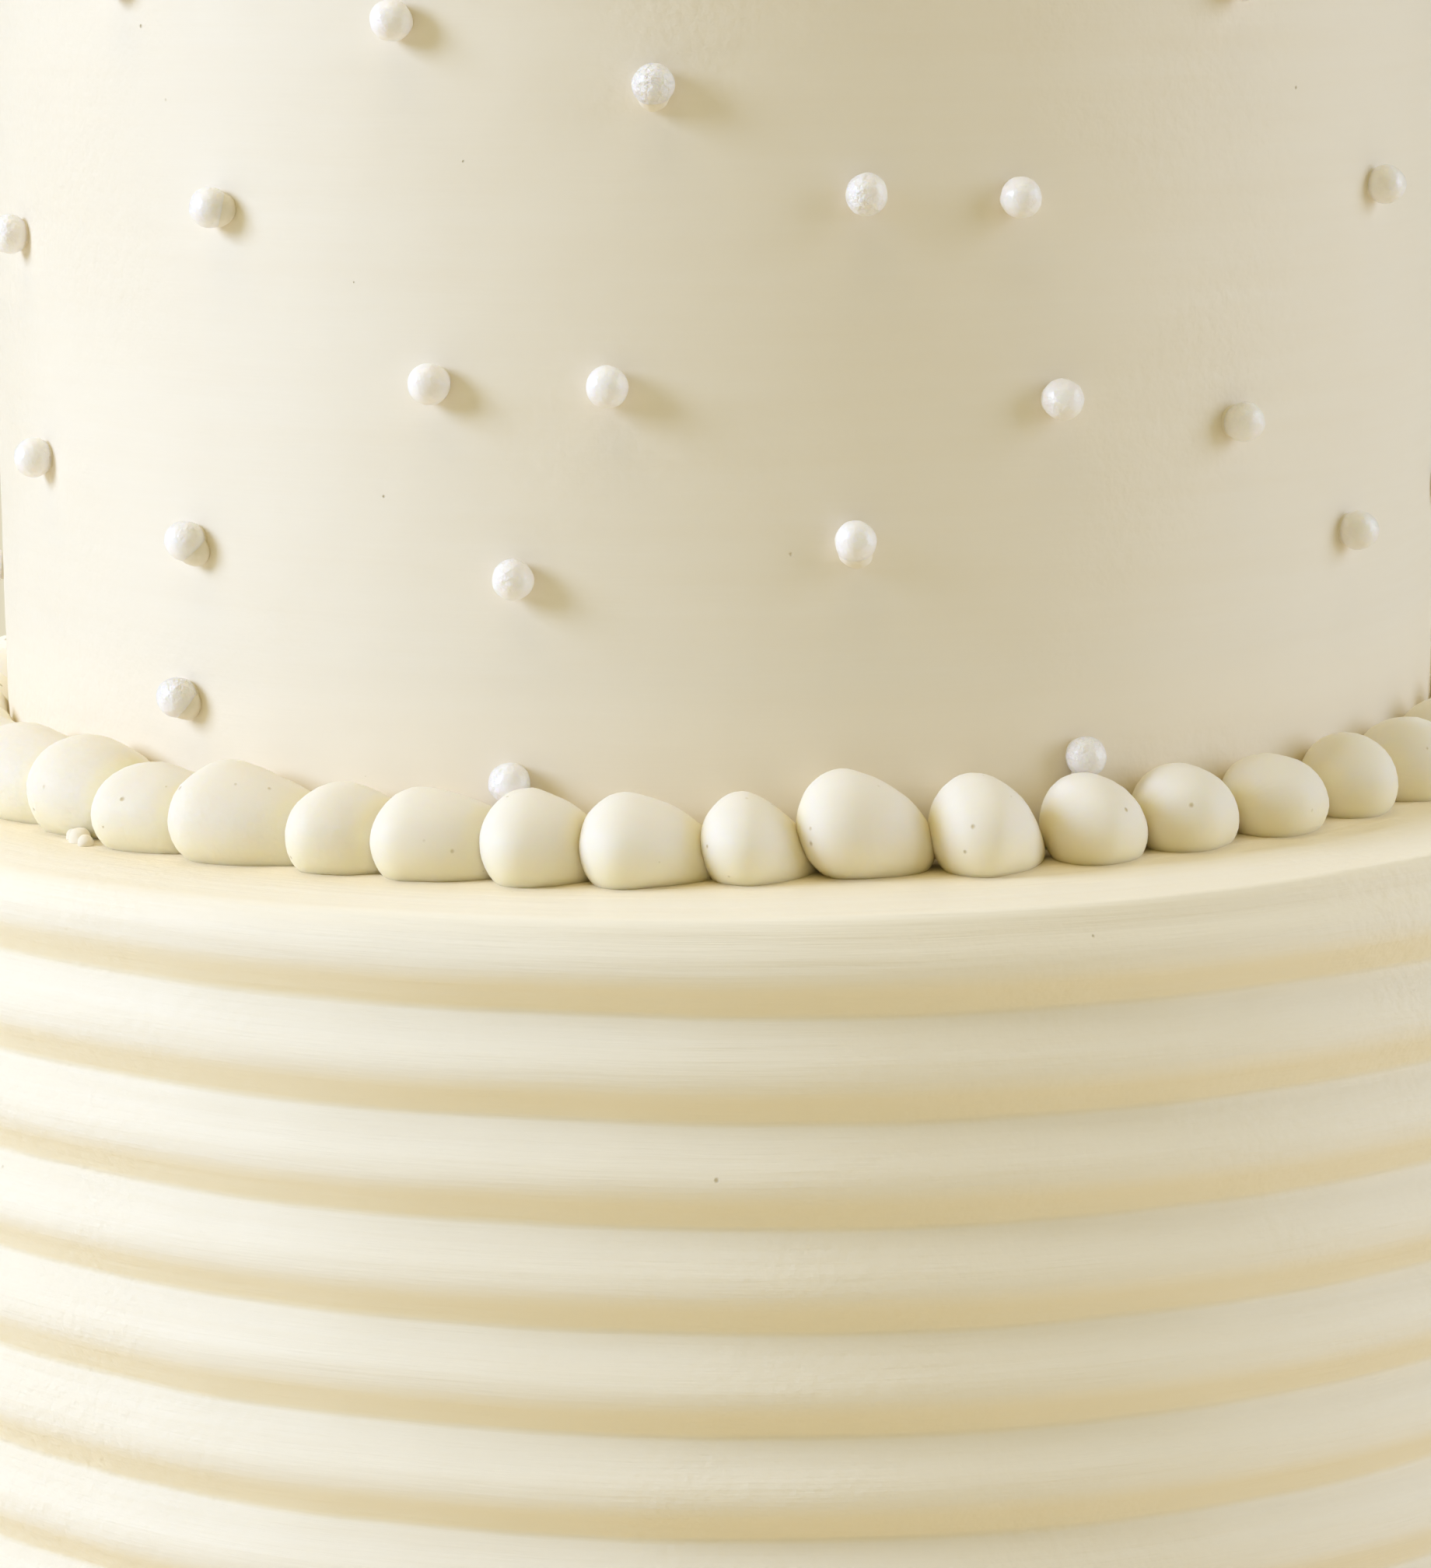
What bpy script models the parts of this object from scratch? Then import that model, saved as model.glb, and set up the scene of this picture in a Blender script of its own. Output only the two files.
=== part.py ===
"""A two-tier cake in pale buttercream.

The narrow upper tier is smoothed flat and dotted with sugar pearls. The wide
lower tier is ridged by a comb that moved slowly down while the turntable ran, so
its valley climbs round the side as one long spiral. A border of piped beads
hides each joint.

Metres, +Z up. The origin is the centre of the base, on the surface that the
cake stands on, and the front faces -Y.
"""

import math
import random

import bmesh
import bpy
from mathutils import Matrix, Vector

MM = 0.001
TAU = 2 * math.pi

# A piece that rests on or beside another keeps this much air to it.
GAP = 0.3 * MM
# A row that ends this close to a rim or a foot is moved onto it.
SNAP = 0.3 * MM

# Tiers: 6-inch over 8-inch layers with their icing, each two layers tall.
LOWER_RADIUS = 104 * MM
LOWER_HEIGHT = 108 * MM
UPPER_RADIUS = 78 * MM
UPPER_HEIGHT = 110 * MM
RIM_ROUND = 2.0 * MM
RIM_DROP = 1.5 * MM
TOP_ROUND = 5.0 * MM
WALL_SIDES = 64

# The comb: one valley, which drops one pitch each time it goes round.
COMB_PITCH = 10.0 * MM
COMB_STARTS = 1
COMB_DEPTH = 2.4 * MM
FIRST_VALLEY = LOWER_HEIGHT - 9.2 * MM
COMB_SIDES = 48
# Down one ridge, from valley to valley: share of the pitch, share of the depth.
RIDGE = ((0.0, 1.0), (0.42, 0.05), (0.56, 0.0), (1.0, 1.0))

# Piped beads. Each runs left to right seen from outside: a round head that
# covers the last bead's tail, then a taper.
BEAD_DEPTH = 11.6 * MM
BEAD_HEIGHT = 8.4 * MM
BEAD_LENGTH = 11.3 * MM
# Along a bead: share of its length, share of its full size.
BEAD_RUN = ((0.0, 0.6), (0.14, 0.94), (0.45, 1.0), (0.8, 0.78))
BASE_BEAD_RUN = ((0.0, 0.62), (0.2, 1.0), (0.7, 0.86))
# Across a bead, from the inner foot outwards and over: share of depth and height.
BEAD_SECTION = ((0.0, 0.0), (0.88, 0.0), (1.0, 0.36), (0.84, 0.8), (0.42, 1.0), (0.0, 0.84))
# Where each bead at the front starts, in degrees from the front to the right.
FRONT_BEADS = (-61.5, -53.3, -44.9, -37.7, -29, -22.8, -15.4, -9.1, -1.5, 5, 13.7, 21.9, 29.7,
               38, 47.3, 55.5, 63)
# The one bead at the front that was squeezed out larger, by its place in that row.
LARGE_BEAD = 9
LARGE_SIZE = 1.12

# Sugar pearls, pressed a little into the icing.
PEARL_DIAMETER = 4.0 * MM
PEARL_SUNK = 0.5 * MM
PEARL_SIDES = 6
PEARL_RINGS = 4
PEARL_APART = 15 * MM
WALL_PEARLS = 66
TOP_PEARLS = 20
# The pearls at the front: degrees from the front, millimetres above the joint.
FRONT_PEARLS = (
    (-84.0, 20.5), (-65.0, 58.0), (-61.4, 35.5), (-47.7, 84.1), (-42.4, 13.8), (-41.1, 29.5),
    (-37.7, 62.2), (-22.2, 80.1), (-20.0, 46.1), (-14.2, 27.7), (-7.4, 46.1), (-4.0, 74.2),
    (9.4, 31.2), (10.3, 63.8), (21.3, 63.0), (24.5, 43.8), (39.9, 82.7), (40.4, 40.2),
    (54.4, 27.6), (58.1, 62.0), (78.0, 69.1), (78.0, 28.7), (-14.7, 11.8), (26.4, 11.8),
)
# Over this arc the wall is as the list above says, up to its highest pearl.
FRONT_ARC = (-92.0, 88.0)
FRONT_TOP = 86 * MM
PEARL_LOW = 12 * MM
PEARL_HIGH = UPPER_HEIGHT - 8 * MM


def clear_scene():
    for thing in list(bpy.data.objects):
        bpy.data.objects.remove(thing)


def sugar_material(name, colour, roughness):
    """A matte, slightly waxy finish."""
    material = bpy.data.materials.new(name)
    material.use_nodes = True
    shader = material.node_tree.nodes["Principled BSDF"]
    shader.inputs["Base Color"].default_value = (*colour, 1)
    shader.inputs["Roughness"].default_value = roughness
    shader.inputs["Metallic"].default_value = 0.0
    return material


def polar(radius, azimuth, height):
    """A point at an angle measured from the front, growing to the right."""
    return Vector((radius * math.sin(azimuth), -radius * math.cos(azimuth), height))


def bridge(mesh, first, second):
    """Quads between two closed rings with the same number of points."""
    for i in range(len(first)):
        j = (i + 1) % len(first)
        mesh.faces.new((first[i], first[j], second[j], second[i]))


def solid(name, mesh, material):
    """The finished bmesh as an object, with its faces pointing out."""
    bmesh.ops.recalc_face_normals(mesh, faces=mesh.faces)
    data = bpy.data.meshes.new(name)
    mesh.to_mesh(data)
    mesh.free()
    data.materials.append(material)
    data.shade_smooth()
    data.set_sharp_from_angle(angle=math.radians(40))
    piece = bpy.data.objects.new(name, data)
    bpy.context.scene.collection.objects.link(piece)
    return piece


def blend(stops, place):
    """The value at a place on a run of (place, value) stops joined by straight lines."""
    for (start, low), (end, high) in zip(stops, stops[1:]):
        if place <= end:
            return low + (high - low) * (place - start) / (end - start)
    return stops[-1][1]


def comb_row(down, azimuth):
    """Height of the row that lies so many ridges below the first valley."""
    spiral = COMB_STARTS * azimuth / TAU
    return FIRST_VALLEY - COMB_PITCH * (down + spiral)


def combed_radius(height, azimuth):
    """How far out the combed side stands, less in the valleys between ridges."""
    spiral = COMB_STARTS * azimuth / TAU
    down = (FIRST_VALLEY - height) / COMB_PITCH - spiral
    return LOWER_RADIUS - COMB_DEPTH * blend(RIDGE, down % 1.0)


def height_key(height):
    """A height as whole hundredths of a millimetre, to find a corner by."""
    return round(height / (0.01 * MM))


def lower_tier(material):
    """The wide tier: ridges that spiral, out through the rim and into the foot."""
    rim = LOWER_HEIGHT - RIM_DROP
    mesh = bmesh.new()
    corners = {}

    def corner(column, down):
        """The side's corner there, or the rim's or foot's where the row runs past it."""
        azimuth = TAU * column / COMB_SIDES
        height = comb_row(down, azimuth)
        if height > rim - SNAP:
            height = rim
        elif height < SNAP:
            height = 0.0
        key = (column % COMB_SIDES, height_key(height))
        if key not in corners:
            corners[key] = mesh.verts.new(polar(combed_radius(height, azimuth), azimuth, height))
        return corners[key]

    ridges = math.ceil(LOWER_HEIGHT / COMB_PITCH)
    rows = [ridge + place for ridge in range(-COMB_STARTS - 1, ridges) for place, _ in RIDGE[:-1]]
    for column in range(COMB_SIDES):
        for upper, lower in zip(rows, rows[1:]):
            around = (corner(column, upper), corner(column + 1, upper),
                      corner(column + 1, lower), corner(column, lower))
            around = list(dict.fromkeys(around))
            if len(around) > 2:
                mesh.faces.new(around)

    rim_ring = [corners[column, height_key(rim)] for column in range(COMB_SIDES)]
    foot_ring = [corners[column, 0] for column in range(COMB_SIDES)]
    top_ring = [
        mesh.verts.new(polar(LOWER_RADIUS - COMB_DEPTH - RIM_ROUND, TAU * column / COMB_SIDES,
                             LOWER_HEIGHT))
        for column in range(COMB_SIDES)
    ]
    bridge(mesh, rim_ring, top_ring)
    mesh.faces.new(top_ring)
    mesh.faces.new(foot_ring)
    return solid("lower_tier", mesh, material)


def smooth_tier(material):
    """The upper tier without its pearls: a turned wall and a softly rounded top edge."""
    base = LOWER_HEIGHT + GAP
    top = LOWER_HEIGHT + UPPER_HEIGHT
    profile = [(UPPER_RADIUS, base)]
    for step in range(4):
        turn = math.radians(30 * step)
        profile.append((UPPER_RADIUS - TOP_ROUND * (1 - math.cos(turn)),
                        top - TOP_ROUND * (1 - math.sin(turn))))
    mesh = bmesh.new()
    rings = [
        [mesh.verts.new(polar(radius, TAU * side / WALL_SIDES, height))
         for side in range(WALL_SIDES)]
        for radius, height in profile
    ]
    for lower, upper in zip(rings, rings[1:]):
        bridge(mesh, lower, upper)
    mesh.faces.new(rings[0])
    mesh.faces.new(rings[-1])
    return solid("upper_tier", mesh, material)


def pearl_places():
    """Where every pearl sits: its centre and the direction that it faces."""
    draw = random.Random(7)
    stand = PEARL_DIAMETER / 2 - PEARL_SUNK
    top = LOWER_HEIGHT + UPPER_HEIGHT
    places = []

    def put(centre, facing):
        """Keeps the pearl if no other is close by."""
        if all((centre - other).length > PEARL_APART for other, _ in places):
            places.append((centre, facing))

    for degrees, height in FRONT_PEARLS:
        azimuth = math.radians(degrees)
        centre = polar(UPPER_RADIUS + stand, azimuth, LOWER_HEIGHT + height * MM)
        places.append((centre, polar(1, azimuth, 0)))
    while len(places) < WALL_PEARLS:
        degrees = draw.uniform(-180, 180)
        height = draw.uniform(PEARL_LOW, PEARL_HIGH)
        if FRONT_ARC[0] < degrees < FRONT_ARC[1] and height < FRONT_TOP:
            continue
        azimuth = math.radians(degrees)
        put(polar(UPPER_RADIUS + stand, azimuth, LOWER_HEIGHT + height), polar(1, azimuth, 0))
    while len(places) < WALL_PEARLS + TOP_PEARLS:
        radius = (UPPER_RADIUS - TOP_ROUND - PEARL_DIAMETER) * math.sqrt(draw.random())
        put(polar(radius, draw.uniform(0, TAU), top + stand), Vector((0, 0, 1)))
    return places


def pearl(centre, facing, material):
    """One pearl as a coarse ball with a pole facing out of the icing."""
    mesh = bmesh.new()
    turn = facing.to_track_quat("Z", "Y").to_matrix().to_4x4()
    bmesh.ops.create_uvsphere(mesh, u_segments=PEARL_SIDES, v_segments=PEARL_RINGS,
                              radius=PEARL_DIAMETER / 2, matrix=Matrix.Translation(centre) @ turn)
    return solid("pearl", mesh, material)


def fuse(body, pieces):
    """Joins the pieces to the body with one union, then removes them."""
    group = bpy.data.collections.new("to_fuse")
    bpy.context.scene.collection.children.link(group)
    for piece in pieces:
        bpy.context.scene.collection.objects.unlink(piece)
        group.objects.link(piece)
    union = body.modifiers.new("union", "BOOLEAN")
    union.operation = "UNION"
    union.operand_type = "COLLECTION"
    union.collection = group
    union.solver = "EXACT"
    union.material_mode = "TRANSFER"
    bpy.context.view_layer.objects.active = body
    bpy.ops.object.modifier_apply(modifier=union.name)
    for piece in pieces:
        bpy.data.objects.remove(piece)
    bpy.data.collections.remove(group)


def bead_row(radius, first_starts, seed, large=None):
    """(start, length, size) of each bead round a wall, in radians and as a share.

    The given starts come first, and uneven beads of the usual length fill the rest.
    """
    draw = random.Random(seed)
    starts = [math.radians(degrees) for degrees in first_starts]
    left = TAU - (starts[-1] - starts[0])
    usual = BEAD_LENGTH / (radius + BEAD_DEPTH / 2)
    count = round(left / usual)
    shares = [draw.uniform(0.85, 1.15) for _ in range(count)]
    for share in shares:
        starts.append(starts[-1] + left * share / sum(shares))
    row = []
    for place, (start, end) in enumerate(zip(starts, starts[1:])):
        size = LARGE_SIZE if place == large else draw.uniform(0.93, 1.05)
        row.append((start, end - start, size))
    return row


def bead_border(name, wall_radius, base, beads, run, material):
    """A ring of piped beads with a flat back against a wall and a flat foot."""
    mesh = bmesh.new()
    rings = []
    for start, length, size in beads:
        for along, share in run:
            azimuth = start + along * length
            rings.append([
                mesh.verts.new(polar(wall_radius + GAP + out * BEAD_DEPTH * size * share, azimuth,
                                     base + up * BEAD_HEIGHT * size * share))
                for out, up in BEAD_SECTION
            ])
    for ring, following in zip(rings, rings[1:] + rings[:1]):
        bridge(mesh, ring, following)
    return solid(name, mesh, material)


def main():
    clear_scene()
    icing = sugar_material("buttercream", (0.88, 0.81, 0.67), 0.55)
    pearl_coat = sugar_material("sugar_pearl", (0.84, 0.83, 0.79), 0.3)

    lower_tier(icing)
    upper = smooth_tier(icing)
    upper.data.materials.append(pearl_coat)
    fuse(upper, [pearl(centre, facing, pearl_coat) for centre, facing in pearl_places()])

    bead_border("tier_bead_border", UPPER_RADIUS, LOWER_HEIGHT + GAP,
                bead_row(UPPER_RADIUS, FRONT_BEADS, seed=3, large=LARGE_BEAD), BEAD_RUN, icing)
    bead_border("base_bead_border", LOWER_RADIUS, 0.0,
                bead_row(LOWER_RADIUS, (0.0,), seed=5), BASE_BEAD_RUN, icing)


main()
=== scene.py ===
# %% [markdown]
# # A two-tier buttercream cake
#
# The cake has a smooth upper tier dotted with sugar pearls, and a lower tier
# whose icing was ridged with a comb. Piped beads hide both joints. The measured
# solids of the cake are loaded first, as a frame. Every piece made here takes
# its size and place from them, so nothing has to be fitted afterwards.
#
# All lengths are in metres. The cake stands on z = 0 and its front faces -Y.

# %% Load the measured cake
import math
import random

import bpy
from mathutils import Matrix, Vector


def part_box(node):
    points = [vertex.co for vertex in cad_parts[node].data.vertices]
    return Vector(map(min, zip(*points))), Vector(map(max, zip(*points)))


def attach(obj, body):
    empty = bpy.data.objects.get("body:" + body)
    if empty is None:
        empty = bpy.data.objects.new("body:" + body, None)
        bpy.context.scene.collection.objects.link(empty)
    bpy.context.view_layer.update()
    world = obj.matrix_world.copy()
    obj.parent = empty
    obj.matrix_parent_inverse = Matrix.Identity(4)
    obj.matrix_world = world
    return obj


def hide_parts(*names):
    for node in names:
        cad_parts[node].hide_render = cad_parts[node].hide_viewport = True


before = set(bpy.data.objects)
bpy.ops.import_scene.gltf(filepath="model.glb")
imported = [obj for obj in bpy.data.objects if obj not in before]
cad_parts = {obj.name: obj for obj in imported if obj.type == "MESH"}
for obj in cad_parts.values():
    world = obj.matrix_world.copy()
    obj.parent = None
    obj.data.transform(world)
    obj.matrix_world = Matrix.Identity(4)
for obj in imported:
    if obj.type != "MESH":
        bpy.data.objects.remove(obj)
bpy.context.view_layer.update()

MM = 0.001
TAU = 2 * math.pi

lower_low, lower_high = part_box("lower_tier")
_, upper_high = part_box("upper_tier")
JOINT = lower_high.z
LOWER_RADIUS = (lower_high.x - lower_low.x) / 2
print(f"joint at {JOINT * 1000:.1f} mm, lower tier {LOWER_RADIUS * 2000:.0f} mm across")

# %% [markdown]
# The box of the upper tier reaches round its pearls, so the height of its top is
# found by taking off how far a pearl stands out. Which pearl reaches furthest to
# the side is a matter of chance, so the radius of the wall is given. A pearl is
# 4 mm across and is pressed 0.5 mm into the icing.

# %% Sizes of the upper tier and its pearls
PEARL = 4.0 * MM
PEARL_SUNK = 0.5 * MM
PEARL_STANDS = PEARL - PEARL_SUNK
UPPER_TOP = upper_high.z - PEARL_STANDS
UPPER_RADIUS = 78.0 * MM
UPPER_HEIGHT = UPPER_TOP - JOINT
print(f"upper tier {UPPER_RADIUS * 2000:.0f} mm across, {UPPER_HEIGHT * 1000:.1f} mm tall")

# %% [markdown]
# ## Camera
#
# The view is close and looks a little down, from about half a metre. The focal
# length is given in pixels of the 1840 x 2016 picture, because that is how it
# was measured, and is turned into millimetres on Blender's 36 mm sensor. The
# long side of the picture is its height, so that is the side the sensor spans.

# %% The camera
PICTURE_HEIGHT = 2016
FOCAL_PIXELS = 6387
SENSOR = 36.0
CAMERA_DISTANCE = 543.6 * MM
CAMERA_ABOVE_JOINT = 92.3 * MM
CAMERA_PITCH = 10.26
CAMERA_YAW = -0.058
CAMERA_ROLL = -0.62


def place_camera():
    """Puts the camera in front of the cake and makes it the scene's own."""
    lens = bpy.data.cameras.new("camera")
    lens.sensor_fit = "AUTO"
    lens.sensor_width = SENSOR
    lens.lens = FOCAL_PIXELS * SENSOR / PICTURE_HEIGHT
    lens.clip_start = 0.01
    camera = bpy.data.objects.new("camera", lens)
    bpy.context.scene.collection.objects.link(camera)
    tilt = Matrix.Rotation(math.radians(90 - CAMERA_PITCH), 4, "X")
    turn = Matrix.Rotation(math.radians(-CAMERA_YAW), 4, "Z")
    roll = Matrix.Rotation(math.radians(CAMERA_ROLL), 4, "Z")
    spot = Matrix.Translation((0, -CAMERA_DISTANCE, JOINT + CAMERA_ABOVE_JOINT))
    camera.matrix_world = spot @ turn @ tilt @ roll
    bpy.context.scene.camera = camera
    return lens


print(f"lens {place_camera().lens:.1f} mm")

# %% [markdown]
# ## Light and floor
#
# One soft light comes from the left, a little above the cake, and throws the
# short soft shadow beside each pearl. A wide, weaker light on the right lifts the
# far side, one overhead lifts the ledge between the tiers, one behind keeps the far
# side pale, and the warm surroundings do the rest. The side lights are cool and the
# rest is warm, which keeps the lit icing nearly white and its shadows yellow. Cream
# is nearly white, so the lights are set by the tones of the darkest part, between
# the side lights, and not by the brightest.

# %% Floor, backdrop and lights
FLOOR_SIZE = 6.0
FLOOR_COLOUR = (0.80, 0.71, 0.54)
BACKDROP_COLOUR = (0.85, 0.83, 0.78)
ROOM_COLOUR = (1.0, 0.917, 0.45)
ROOM_STRENGTH = 0.336
# name, degrees to the right of the front, degrees up, metres away, metres across, watts, colour
LIGHTS = (
    ("key", -72, 24, 1.3, 0.55, 15.3, (0.575, 0.700, 1.0)),
    ("fill", 82, 18, 1.6, 1.2, 13.9, (0.612, 0.712, 1.0)),
    ("top", -60, 80, 1.6, 1.2, 8.6, (1.0, 0.84, 0.53)),
    ("back", 180, 30, 1.6, 1.2, 9.0, (0.70, 0.80, 1.0)),
)


def matte(name, colour, roughness):
    """A plain finish for what isn't part of the cake."""
    finish = bpy.data.materials.new(name)
    finish.use_nodes = True
    shader = finish.node_tree.nodes["Principled BSDF"]
    shader.inputs["Base Color"].default_value = (*colour, 1)
    shader.inputs["Roughness"].default_value = roughness
    return finish


def lay_floor():
    """A pale floor, wide enough to fill every view."""
    half = FLOOR_SIZE / 2
    sheet = bpy.data.meshes.new("floor")
    corners = [(-half, -half, 0), (half, -half, 0), (half, half, 0), (-half, half, 0)]
    sheet.from_pydata(corners, [], [(0, 1, 2, 3)])
    sheet.materials.append(matte("pale_floor", FLOOR_COLOUR, 0.8))
    floor = bpy.data.objects.new("floor", sheet)
    bpy.context.scene.collection.objects.link(floor)


def aim_light(name, azimuth, elevation, distance, across, watts, colour):
    """A square soft light, aimed at the joint between the tiers."""
    lamp = bpy.data.lights.new(name, "AREA")
    lamp.shape = "SQUARE"
    lamp.size = across
    lamp.energy = watts
    lamp.color = colour
    light = bpy.data.objects.new(name, lamp)
    bpy.context.scene.collection.objects.link(light)
    side = math.radians(azimuth)
    rise = math.radians(elevation)
    out = Vector((math.sin(side) * math.cos(rise), -math.cos(side) * math.cos(rise), math.sin(rise)))
    light.location = Vector((0, 0, JOINT)) + out * distance
    light.rotation_euler = out.to_track_quat("Z", "Y").to_euler()


def light_the_room():
    """The surroundings: warm light on the cake, and a plain pale backdrop for the camera."""
    world = bpy.data.worlds.new("room")
    world.use_nodes = True
    air = world.node_tree.nodes["Background"]
    air.inputs["Color"].default_value = (*ROOM_COLOUR, 1)
    air.inputs["Strength"].default_value = ROOM_STRENGTH
    backdrop = world.node_tree.nodes.new("ShaderNodeBackground")
    backdrop.inputs["Color"].default_value = (*BACKDROP_COLOUR, 1)
    seen = world.node_tree.nodes.new("ShaderNodeLightPath")
    mix = world.node_tree.nodes.new("ShaderNodeMixShader")
    link = world.node_tree.links.new
    link(seen.outputs["Is Camera Ray"], mix.inputs[0])
    link(air.outputs[0], mix.inputs[1])
    link(backdrop.outputs[0], mix.inputs[2])
    link(mix.outputs[0], world.node_tree.nodes["World Output"].inputs["Surface"])
    bpy.context.scene.world = world
    bpy.context.scene.view_settings.view_transform = "Standard"


lay_floor()
light_the_room()
for row in LIGHTS:
    aim_light(*row)
print(f"floor laid, {len(LIGHTS)} lights aimed")

# %% [markdown]
# ## Writing node trees
#
# Both the shapes and the finishes are made of nodes, and both kinds of tree are
# written the same way: add a node, feed its inputs, take what comes out. This
# small class holds those steps. A value that feeds an input is either a number
# or the output of an earlier node.

# %% A recipe: a node tree being written
SOCKETS = {"geometry": "NodeSocketGeometry", "size": "NodeSocketFloat",
           "count": "NodeSocketInt", "material": "NodeSocketMaterial"}


class Recipe:
    """A node tree being written down, one node at a time."""

    def __init__(self, tree):
        self.tree = tree

    def node(self, kind, feeds=None, **settings):
        """Adds a node with those settings and feeds, and returns it."""
        made = self.tree.nodes.new(kind)
        for setting, value in settings.items():
            setattr(made, setting, value)
        for socket, value in (feeds or {}).items():
            self.feed(made.inputs[socket], value)
        return made

    def feed(self, socket, value):
        """Links an earlier output to the socket, or sets the number there."""
        if isinstance(value, bpy.types.NodeSocket):
            self.tree.links.new(value, socket)
        else:
            socket.default_value = value

    def maths(self, operation, *values):
        """One sum on numbers."""
        return self.node("ShaderNodeMath", dict(enumerate(values)), operation=operation).outputs[0]

    def total(self, *values):
        """The sum of several values."""
        result = values[0]
        for value in values[1:]:
            result = self.maths("ADD", result, value)
        return result

    def product(self, *values):
        """The product of several values."""
        result = values[0]
        for value in values[1:]:
            result = self.maths("MULTIPLY", result, value)
        return result

    def stretch(self, value, low, high, new_low, new_high):
        """Maps a range to another, and holds the value inside it."""
        feeds = {0: value, 1: low, 2: high, 3: new_low, 4: new_high}
        return self.node("ShaderNodeMapRange", feeds).outputs[0]

    def vector(self, x, y, z):
        """Three numbers as one vector."""
        return self.node("ShaderNodeCombineXYZ", {0: x, 1: y, 2: z}).outputs[0]

    def scaled(self, place, x, y, z):
        """A place stretched by its own factor each way."""
        feeds = {0: place, 1: (x, y, z)}
        return self.node("ShaderNodeVectorMath", feeds, operation="MULTIPLY").outputs[0]

    def place(self):
        """Where each point of the shape is."""
        return self.node("GeometryNodeInputPosition").outputs[0]

    def wrapped(self, angle, reach, height):
        """A point at an angle measured from the front, growing to the right."""
        return self.vector(self.product(self.maths("SINE", angle), reach),
                           self.product(self.maths("COSINE", angle), reach, -1.0), height)

    def pushed(self, geometry, distance):
        """The shape with each point moved outwards by its own distance."""
        push = self.node("ShaderNodeVectorMath", {
            0: self.node("GeometryNodeInputNormal").outputs[0], "Scale": distance},
            operation="SCALE")
        return self.node("GeometryNodeSetPosition", {"Geometry": geometry,
                                                     "Offset": push.outputs[0]}).outputs[0]

    def noise(self, place, scale, detail=2.0, roughness=0.5):
        """Smooth random values round zero."""
        feeds = {"Vector": place, "Scale": scale, "Detail": detail, "Roughness": roughness}
        return self.maths("SUBTRACT", self.node("ShaderNodeTexNoise", feeds).outputs[0], 0.5)

    def curve(self, value, points):
        """A smooth curve through given points, read at the value."""
        made = self.node("ShaderNodeFloatCurve", {"Value": value})
        line = made.mapping.curves[0].points
        while len(line) < len(points):
            line.new(0.5, 0.5)
        for knot, (x, y) in zip(line, points):
            knot.location = (x, y)
            knot.handle_type = "AUTO_CLAMPED"
        made.mapping.update()
        return made.outputs[0]


print("recipes can be written")

# %% [markdown]
# A shape recipe is a Geometry Nodes tree with named inputs. It is run once on a
# helper object, and what it made is kept as a plain mesh. The helper and its
# modifier are then removed, so the finished piece depends on nothing.

# %% Start a shape recipe, and run one
def shape_recipe(name, inputs):
    """A new Geometry Nodes tree with these (name, kind) inputs, and its inputs by name."""
    tree = bpy.data.node_groups.new(name, "GeometryNodeTree")
    tree.interface.new_socket("Geometry", in_out="INPUT", socket_type=SOCKETS["geometry"])
    for label, kind in inputs:
        tree.interface.new_socket(label, in_out="INPUT", socket_type=SOCKETS[kind])
    tree.interface.new_socket("Geometry", in_out="OUTPUT", socket_type=SOCKETS["geometry"])
    recipe = Recipe(tree)
    return recipe, recipe.node("NodeGroupInput").outputs


def serve(recipe, geometry, material):
    """Ends a shape recipe: smooth shading, real geometry, one material."""
    smooth = recipe.node("GeometryNodeSetShadeSmooth", {"Geometry": geometry})
    real = recipe.node("GeometryNodeRealizeInstances", {"Geometry": smooth.outputs[0]})
    coated = recipe.node("GeometryNodeSetMaterial", {"Geometry": real.outputs[0],
                                                     "Material": material})
    recipe.node("NodeGroupOutput", {"Geometry": coated.outputs[0]})


def run_recipe(name, recipe, start, inputs):
    """Runs the recipe on a starting mesh and keeps the result as a plain mesh object."""
    helper = bpy.data.objects.new(name + "_helper", start)
    bpy.context.scene.collection.objects.link(helper)
    modifier = helper.modifiers.new("recipe", "NODES")
    modifier.node_group = recipe.tree
    for item in recipe.tree.interface.items_tree:
        if item.name in inputs:
            modifier[item.identifier] = inputs[item.name]
    graph = bpy.context.evaluated_depsgraph_get()
    mesh = bpy.data.meshes.new_from_object(helper.evaluated_get(graph), depsgraph=graph)
    helper.modifiers.remove(modifier)
    bpy.data.objects.remove(helper)
    mesh.name = name
    piece = bpy.data.objects.new(name, mesh)
    bpy.context.scene.collection.objects.link(piece)
    print(f"{name}: {sum(len(face.vertices) - 2 for face in mesh.polygons)} triangles")
    return piece


def keep(piece, node=None):
    """Hands a finished piece to the cake: it may stand for one of the measured solids."""
    if node:
        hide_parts(node)
    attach(piece, "root")
    return piece


print("shape recipes can be run")

# %% [markdown]
# ## Buttercream
#
# Buttercream is soft fat and sugar. Light sinks a millimetre or two into it, so
# shadows in it are warm and soft, and its skin has a low satin gloss. The scraper
# leaves long faint streaks that run round the cake, and the odd air bubble
# leaves a pit. Streaks are noise stretched along the way the scraper went. Bubbles
# are the centres of a Voronoi pattern's cells, and the few that lie on the skin show.

# %% The buttercream finish
CREAM = (0.90, 0.838, 0.715)
COMBED = (0.96, 0.905, 0.785)
PALE_CREAM = (0.89, 0.843, 0.762)
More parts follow.
